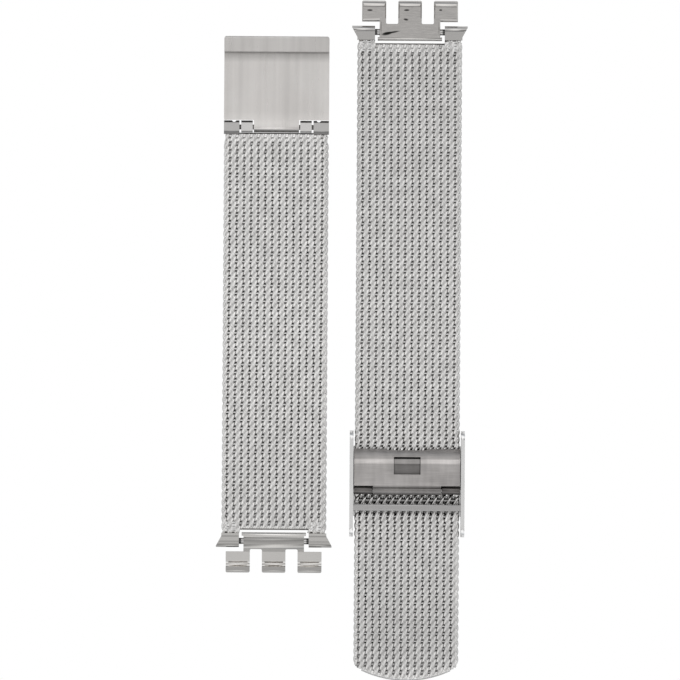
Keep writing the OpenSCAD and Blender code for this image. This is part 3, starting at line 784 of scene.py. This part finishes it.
class Cloth:
    """One strap's cloth, laid as pieces of whole rows.

    flexes are the words that its joints' names start with. outline tells which points lie on the
    strap, and ends gives the rods that fill its lower and its upper end.
    """

    def __init__(self, strap, flexes, pitch, phase, drift, outline, ends):
        nodes = [n for n in frame["nodes"] if n.startswith(strap + "_mesh")]
        self.low = Vector([min(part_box(n)[0][i] for n in nodes) for i in range(3)]) / MM
        self.high = Vector([max(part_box(n)[1][i] for n in nodes) for i in range(3)]) / MM
        self.middle = (self.low + self.high) / 2
        self.half = (self.high.x - self.low.x) / 2 - WIRE_R
        reach = TURN_LENGTH / 2
        self.rows = np.arange(self.low.y - reach + phase, self.high.y + reach, pitch)
        self.low_rods, self.high_rods = ends(self.low.y, self.high.y, self.half)
        self.chain = strap_chain(strap, flexes)
        self.gap = open_row() if strap == "long" else math.inf
        self.pitch = pitch
        self.drift = drift
        self.outline = outline
        self.material = wire_steel(strap, self.middle.z)
        self.strap = strap
        self.pieces = 0

    def inside(self, x, y):
        """True for the points that a wire's middle may reach."""
        return self.outline(x, y, self.low.y + WIRE_R, self.high.y - WIRE_R)

    def through_wires(self, y):
        """Straight wires through the row at y. The thin one is left out at the ends and at the clasp."""
        near_end = not self.low.y + BARE_ENDS[0] < y < self.high.y - BARE_ENDS[1]
        near_clasp = abs(y - self.gap - OPEN_ROW_SHIFT) < PRESSED_REACH
        return [CORE_WIRE] if near_end or near_clasp else [CORE_WIRE, CROSS_WIRE]

    def row(self, y):
        """Parts of the row at y: its coil, the wires through it and the loops at its ends."""
        across, along = row_shift(y, self.drift)
        line = pressed(coil_line(self.half, COLUMN_SHIFT + across), y, self.pitch, self.gap)
        for run in runs_inside(line + np.array([0, y + along, 0]), self.inside):
            yield tube(run)
        for radius, height, shift in self.through_wires(y):
            level = straight(y + along + shift, self.half, THROUGH_POINTS) + np.array([0, 0, height])
            for run in runs_inside(level, self.inside):
                yield rod(run, radius, THROUGH_SIDES)
        for side in (-1, 1):
            x = side * (self.half + WIRE_R - EDGE_LOOP[0])
            tips = np.array([y - EDGE_LOOP[1], y + EDGE_LOOP[1]])
            if self.inside(np.full(2, x), tips).all():
                yield ellipsoid((x, y, 0), EDGE_LOOP)

    def piece(self, rows, rods=()):
        """One mesh of some rows, and of rods that fill an end."""
        parts = [part for y in rows for part in self.row(y)]
        parts += [rod(points, EDGE_ROD_R) for points in rods]
        points = np.concatenate([verts for verts, _ in parts])
        points = (points + np.array((self.middle.x, 0, self.middle.z))) * MM
        faces = []
        count = 0
        for verts, part_faces in parts:
            faces.extend([[i + count for i in face] for face in part_faces])
            count += len(verts)
        self.pieces += 1
        name = f"{self.strap}_weave_{self.pieces}"
        mesh = bpy.data.meshes.new(name)
        mesh.from_pydata(points.tolist(), [], faces)
        mesh.polygons.foreach_set("use_smooth", [True] * len(mesh.polygons))
        mesh.materials.append(self.material)
        mesh.update()
        made = bpy.data.objects.new(name, mesh)
        bpy.context.scene.collection.objects.link(made)
        return made

    def ride(self, body, node, rows, rods):
        """Pieces that ride on one body and stand for its node."""
        parts = max(1, math.ceil(len(rows) / ROWS_PER_PIECE))
        for index, share in enumerate(np.array_split(rows, parts)):
            made = self.piece(share, () if index else rods)
            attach(made, body)
            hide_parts(node)

    def bend(self, flex, start, end):
        """The piece that lies over one joint and rides on neither body."""
        made = self.piece(self.rows[(self.rows >= start) & (self.rows < end)])
        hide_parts(flex.node_below, flex.node_above)
        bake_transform(made)

    def lay(self):
        """The whole cloth: a piece round each joint, and what is between two joints rides."""
        places = [-math.inf, *(flex.y for flex in self.chain), math.inf]
        end = -math.inf
        for index, flex in enumerate(self.chain):
            start = flex.y - min((flex.y - places[index]) / 2, BLEND_REACH)
            still = self.rows[(self.rows >= end) & (self.rows < start)]
            if len(still):
                self.ride(flex.below, flex.node_below, still, () if index else self.low_rods)
            end = flex.y + min((places[index + 2] - flex.y) / 2, BLEND_REACH)
            self.bend(flex, start, end)
        last = self.chain[-1]
        self.ride(last.above, last.node_above, self.rows[self.rows >= end], self.high_rods)


# Outlines and ends of the two straps, across their middle line

def inner_half(strap):
    """Half the width between a strap's two link shoulders."""
    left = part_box(strap + "_link_shoulder_left")
    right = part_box(strap + "_link_shoulder_right")
    start = min(left[1].x, right[1].x)
    end = max(left[0].x, right[0].x)
    return (end - start) / 2 / MM


SHORT_GAP = inner_half("short")
LONG_GAP = inner_half("long")
STRAP_HALF = (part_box("long_mesh_slide")[1].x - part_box("long_mesh_slide")[0].x) / 2 / MM


def short_outline(x, y, low, high):
    """The short strap's middle ends a little above its two corners, which the shoulders hold."""
    bottom = np.where(np.abs(x) < SHORT_GAP, low + CORNER_TAB, low - WIRE_R)
    return (y >= bottom) & (y <= high)


def long_outline(x, y, low, high):
    """The long strap has a rounded tip, and its middle ends a little below its two corners."""
    top = np.where(np.abs(x) < LONG_GAP, high - CORNER_TAB, high + WIRE_R)
    radius = TIP_ARC_R - WIRE_R
    from_centre = np.hypot(x, y - (low - WIRE_R) - TIP_ARC_R)
    in_arc = (y > low - WIRE_R + TIP_ARC_R) | (from_centre < radius)
    return (y <= top) & in_arc & tip_corner(x, y, low - WIRE_R)


def tip_corner(x, y, bottom):
    """False outside the tip's two rounded corners."""
    corner_x = STRAP_HALF - TIP_CORNER_R
    corner_y = bottom + TIP_ARC_R - math.sqrt((TIP_ARC_R - TIP_CORNER_R) ** 2 - corner_x ** 2)
    beyond = (np.abs(x) > corner_x) & (y < corner_y)
    return ~beyond | (np.hypot(np.abs(x) - corner_x, y - corner_y) < TIP_CORNER_R - WIRE_R)


def tip_rim(bottom, half_width, inset):
    """Centre line of a bead along the tip's arc, at a distance from it."""
    radius = TIP_ARC_R - inset
    reach = math.asin((half_width - TIP_CORNER_R) / radius)
    turn = np.linspace(-reach, reach, TIP_POINTS)
    x = radius * np.sin(turn)
    y = bottom + TIP_ARC_R - radius * np.cos(turn)
    return np.stack([x, y, np.zeros(TIP_POINTS)], axis=1)


def corner_fill(y, inner, half):
    """Rods at y that fill the weave's two corners, which the shoulders are brazed to."""
    middle = (inner + half) / 2
    for side in (-1, 1):
        for z in CORNER_LEVELS:
            yield straight(y, (half - inner) / 2, 3) + np.array([side * middle, 0, z])


def short_ends(low, high, half):
    """Rods that fill the end rows at the short strap's lower and upper end."""
    link = [straight(low + CORNER_TAB + EDGE_ROD_R, SHORT_GAP)]
    for step in CORNER_ROWS:
        link.extend(corner_fill(low + step * EDGE_ROD_R, SHORT_GAP, half))
    return link, [straight(high - step * EDGE_ROD_R, half) for step in END_ROWS]


def long_ends(low, high, half):
    """Rods that fill the end rows at the long strap's lower and upper end."""
    link = [straight(high - CORNER_TAB - step * EDGE_ROD_R, LONG_GAP) for step in END_ROWS]
    for step in CORNER_ROWS:
        link.extend(corner_fill(high - step * EDGE_ROD_R, LONG_GAP, half))
    return [tip_rim(low, half, EDGE_ROD_R)], link


Cloth("short", ("short_flex",), SHORT_PITCH, SHORT_PHASE, SHORT_DRIFT, short_outline, short_ends).lay()
Cloth("long", ("long_flex", "tip_flex"), LONG_PITCH, LONG_PHASE, LONG_DRIFT, long_outline, long_ends).lay()


# Fittings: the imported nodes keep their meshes, and each takes the first finish whose word its name holds

FINISHES = {
    "short_end_link": WRIST_SIDE,
    "long_end_link": OUTER_LINK,
    "short_link_shoulder": WRIST_SHOULDER,
    "link_shoulder": POLISHED,
    "hinge_shoulder": KNUCKLE,
    "hook_plate": BRUSHED,
    "lock_lid": LID,
    "hook_bar": BAR,
    "slider_frame": FRAME,
    "short_link_pin": SHORT_PIN,
    "long_link_pin": LONG_PIN,
    "hinge_pin": SHADE_STEEL,
    "lid_pin": LID_PIN,
    "lid_sleeve": SHADE_STEEL,
    "hinge_sleeve": HINGE_SLEEVE,
}


def dress(node, material):
    """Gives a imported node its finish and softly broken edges."""
    node.data.materials.clear()
    node.data.materials.append(material)
    weld = node.modifiers.new("weld", "WELD")
    weld.merge_threshold = WELD_REACH * MM
    bevel = node.modifiers.new("edges", "BEVEL")
    bevel.width = EDGE_WIDTH * MM
    bevel.segments = 2
    bevel.limit_method = "ANGLE"
    bevel.angle_limit = math.radians(EDGE_ANGLE)
    bevel.harden_normals = True


for node_name, node_object in frame["nodes"].items():
    for word, finish in FINISHES.items():
        if word in node_name:
            dress(node_object, finish)
            break


# Floor, light and camera

def floor():
    """Pale floor that shows as white to the camera and keeps a soft shadow."""
    mesh = bpy.data.meshes.new("floor")
    z = -FLOOR_DROP * MM
    corners = [(x * FLOOR_HALF, y * FLOOR_HALF, z) for x, y in ((-1, -1), (1, -1), (1, 1), (-1, 1))]
    mesh.from_pydata(corners, [], [(0, 1, 2, 3)])
    material = bpy.data.materials.new("floor")
    s = Shader(material)
    out = s.node("ShaderNodeOutputMaterial")
    matte = s.node("ShaderNodeBsdfDiffuse")
    matte.inputs["Color"].default_value = (*grey(FLOOR_GREY), 1)
    glow = s.node("ShaderNodeEmission")
    glow.inputs["Color"].default_value = (*grey(1), 1)
    glow.inputs["Strength"].default_value = 1.0
    path = s.node("ShaderNodeLightPath").outputs
    mirrored = s.formula("ADD", path["Is Glossy Ray"], path["Is Transmission Ray"], clamp=True)
    dimmed = s.formula("MULTIPLY", mirrored, FLOOR_MIRRORED)
    share = s.formula("MULTIPLY_ADD", path["Is Camera Ray"], FLOOR_SHOWN, dimmed, clamp=True)
    mix = s.node("ShaderNodeMixShader")
    s.put(share, mix.inputs["Fac"])
    s.put(matte.outputs["BSDF"], mix.inputs[1])
    s.put(glow.outputs["Emission"], mix.inputs[2])
    s.put(mix.outputs["Shader"], out.inputs["Surface"])
    mesh.materials.append(material)
    made = bpy.data.objects.new("floor", mesh)
    bpy.context.scene.collection.objects.link(made)


def studio():
    """Light tent: grey overhead, bright at mid height towards both ends of the straps, dim lower down."""
    world = bpy.data.worlds.new("studio")
    bpy.context.scene.world = world
    s = Shader(world)
    out = s.node("ShaderNodeOutputWorld")
    back = s.node("ShaderNodeBackground")
    place = s.split(s.node("ShaderNodeTexCoord").outputs["Generated"])
    height = s.remap(place["Z"], -1.0, 1.0)

    def sky(stops):
        by_height = [((math.cos(math.radians(angle)) + 1) / 2, level) for angle, level in stops]
        return s.ramp(height, by_height[::-1])

    along = s.formula("POWER", place["Y"], 2.0)
    across = s.formula("POWER", place["X"], 2.0)
    share = s.formula("DIVIDE", along, s.formula("ADD", along, across), clamp=True)
    upper = s.remap(place["Y"], -SKY_TURN, SKY_TURN)
    ends = s.mix(upper, sky(SKY_DOWN_STRAP), sky(SKY_UP_STRAP))
    s.put(s.mix(share, sky(SKY_ACROSS), ends), back.inputs["Color"])
    s.put(back.outputs["Background"], out.inputs["Surface"])


def camera():
    """Long lens straight above, turned by the photograph's slight lean."""
    data = bpy.data.cameras.new("camera")
    data.sensor_width = SENSOR
    data.lens = SENSOR * (CAMERA_UP - SCALE_UP) / (PHOTO_PX * MM_PER_PX)
    data.clip_end = 10
    made = bpy.data.objects.new("camera", data)
    made.location = (VIEW_CENTRE[0] * MM, VIEW_CENTRE[1] * MM, CAMERA_UP * MM)
    made.rotation_euler = (0, 0, math.radians(VIEW_LEAN))
    bpy.context.scene.collection.objects.link(made)
    bpy.context.scene.camera = made


floor()
studio()
camera()
bpy.context.scene.view_settings.view_transform = "Standard"
